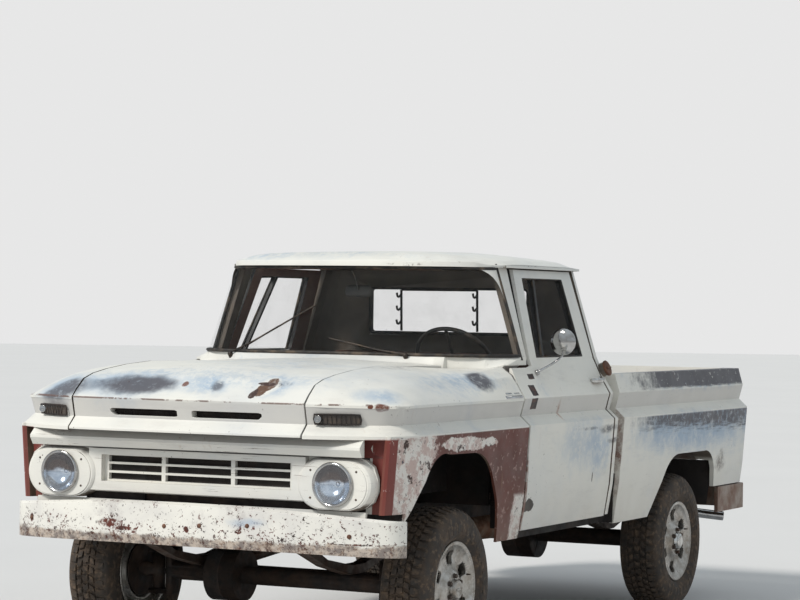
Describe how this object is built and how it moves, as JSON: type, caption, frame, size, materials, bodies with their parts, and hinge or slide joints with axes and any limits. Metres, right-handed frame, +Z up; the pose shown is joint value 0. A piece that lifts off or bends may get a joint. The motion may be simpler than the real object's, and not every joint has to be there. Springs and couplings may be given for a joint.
{
  "type": "pickup truck",
  "caption": "Early 1960s pickup truck with a short load bed, wraparound windshield, driven front axle, opening doors, hood and tailgate, turning steering and free wheels.",
  "frame": {"origin": "on the ground under the middle of the truck's box", "axes": "+X to the truck's left, +Y to its rear, +Z up; the front faces -Y"},
  "size_m": [2.041, 4.891, 1.945],
  "materials": {
    "body_paint": "old cream-white paint, worn through in patches",
    "frame_black": "dark, dusty",
    "axle_iron": "dusty",
    "bare_steel": "dull",
    "exhaust_steel": "rusty",
    "alloy": "dirty cast alloy",
    "tyre": "dusty black",
    "glass": "clear",
    "lamp_glass": "clear ribbed",
    "lamp_amber": "dark park lamp lens",
    "lamp_red": "red lens",
    "seat_vinyl": "dark worn cover",
    "dash_paint": "satin grey",
    "wheel_plastic": "worn black",
    "mirror": "dull chrome",
    "bumper": "white paint with rust specks",
    "bumper_rear": "dull, rusty",
    "engine": "oily",
    "bed_paint": "worn grey-blue"
  },
  "bodies": {
    "chassis": {"frame_left": "frame_black", "frame_right": "frame_black", "crossmembers": "frame_black", "front_axle": "axle_iron", "rear_axle": "axle_iron", "leaf_springs": "bare_steel", "engine_block": "engine", "transmission": "engine", "driveshafts": "bare_steel", "exhaust": "exhaust_steel", "radiator": "frame_black", "fender_left": "body_paint", "fender_right": "body_paint", "inner_fenders": "frame_black", "grille_panel": "body_paint", "header_panel": "body_paint", "headlamps": "lamp_glass", "park_lamps": "lamp_amber", "front_bumper": "bumper", "cab_floor": "body_paint", "cab_back": "body_paint", "rear_glass": "glass", "windshield": "glass", "cowl_top": "body_paint", "windshield_posts": "body_paint", "roof": "body_paint", "bed_floor": "bed_paint", "bed_side_left": "body_paint", "bed_side_right": "body_paint", "bed_front": "body_paint", "wheelhouses": "bed_paint", "tail_lamps": "lamp_red", "rear_bumper": "bumper_rear", "dashboard": "dash_paint", "seat_cushion": "seat_vinyl", "seat_back": "seat_vinyl", "steering_column": "dash_paint"},
    "hood": {"hood": "body_paint"},
    "door_left": {"door_left": "body_paint", "door_glass_left": "glass", "mirror": "mirror"},
    "door_right": {"door_right": "body_paint", "door_glass_right": "glass"},
    "tailgate": {"tailgate": "body_paint"},
    "knuckle_left": {"knuckle_left": "axle_iron"},
    "knuckle_right": {"knuckle_right": "axle_iron"},
    "tie_rod": {"tie_rod": "bare_steel"},
    "steering_wheel": {"steering_wheel": "wheel_plastic"},
    "wheel_front_left": {"tyre_front_left": "tyre", "rim_front_left": "alloy"},
    "wheel_front_right": {"tyre_front_right": "tyre", "rim_front_right": "alloy"},
    "wheel_rear_left": {"tyre_rear_left": "tyre", "rim_rear_left": "alloy"},
    "wheel_rear_right": {"tyre_rear_right": "tyre", "rim_rear_right": "alloy"}
  },
  "joints": [
    {"name": "hood_hinge", "type": "hinge", "parent": "chassis", "child": "hood", "pos_m": [0, -1, 1.39], "axis": [-1, 0, 0], "range_deg": [0, 45]},
    {"name": "door_left_hinge", "type": "hinge", "parent": "chassis", "child": "door_left", "pos_m": [0.965, -0.845, 0.9], "axis": [0, 0, -1], "range_deg": [0, 65]},
    {"name": "door_right_hinge", "type": "hinge", "parent": "chassis", "child": "door_right", "pos_m": [-0.965, -0.845, 0.9], "axis": [0, 0, 1], "range_deg": [0, 65]},
    {"name": "tailgate_hinge", "type": "hinge", "parent": "chassis", "child": "tailgate", "pos_m": [0, 2.312, 0.852], "axis": [-1, 0, 0], "range_deg": [0, 90]},
    {"name": "steer_left", "type": "hinge", "parent": "chassis", "child": "knuckle_left", "pos_m": [0.65, -1.56, 0.375], "axis": [0, 0, 1], "range_deg": [-30, 30]},
    {"name": "steer_right", "type": "hinge", "parent": "chassis", "child": "knuckle_right", "pos_m": [-0.65, -1.56, 0.375], "axis": [0, 0, 1], "range_deg": [-30, 30]},
    {"name": "tie_rod_pivot", "type": "hinge", "parent": "knuckle_left", "child": "tie_rod", "pos_m": [0.65, -1.36, 0.39], "axis": [0, 0, 1], "range_deg": [-30, 30]},
    {"name": "steering_wheel_turn", "type": "hinge", "parent": "chassis", "child": "steering_wheel", "pos_m": [0.418, -0.498, 1.39], "axis": [0, 0.8, 0.6], "range_deg": [-480, 480]},
    {"name": "spin_front_left", "type": "hinge", "parent": "knuckle_left", "child": "wheel_front_left", "pos_m": [0.83, -1.56, 0.375], "axis": [1, 0, 0], "continuous": true},
    {"name": "spin_front_right", "type": "hinge", "parent": "knuckle_right", "child": "wheel_front_right", "pos_m": [-0.83, -1.56, 0.375], "axis": [1, 0, 0], "continuous": true},
    {"name": "spin_rear_left", "type": "hinge", "parent": "chassis", "child": "wheel_rear_left", "pos_m": [0.83, 1.361, 0.375], "axis": [1, 0, 0], "continuous": true},
    {"name": "spin_rear_right", "type": "hinge", "parent": "chassis", "child": "wheel_rear_right", "pos_m": [-0.83, 1.361, 0.375], "axis": [1, 0, 0], "continuous": true}
  ],
  "couplings": [
    {"joint": "steer_right", "follows": "steer_left", "ratio": 1},
    {"joint": "tie_rod_pivot", "follows": "steer_left", "ratio": -1},
    {"joint": "steering_wheel_turn", "follows": "steer_left", "ratio": 16}
  ]
}
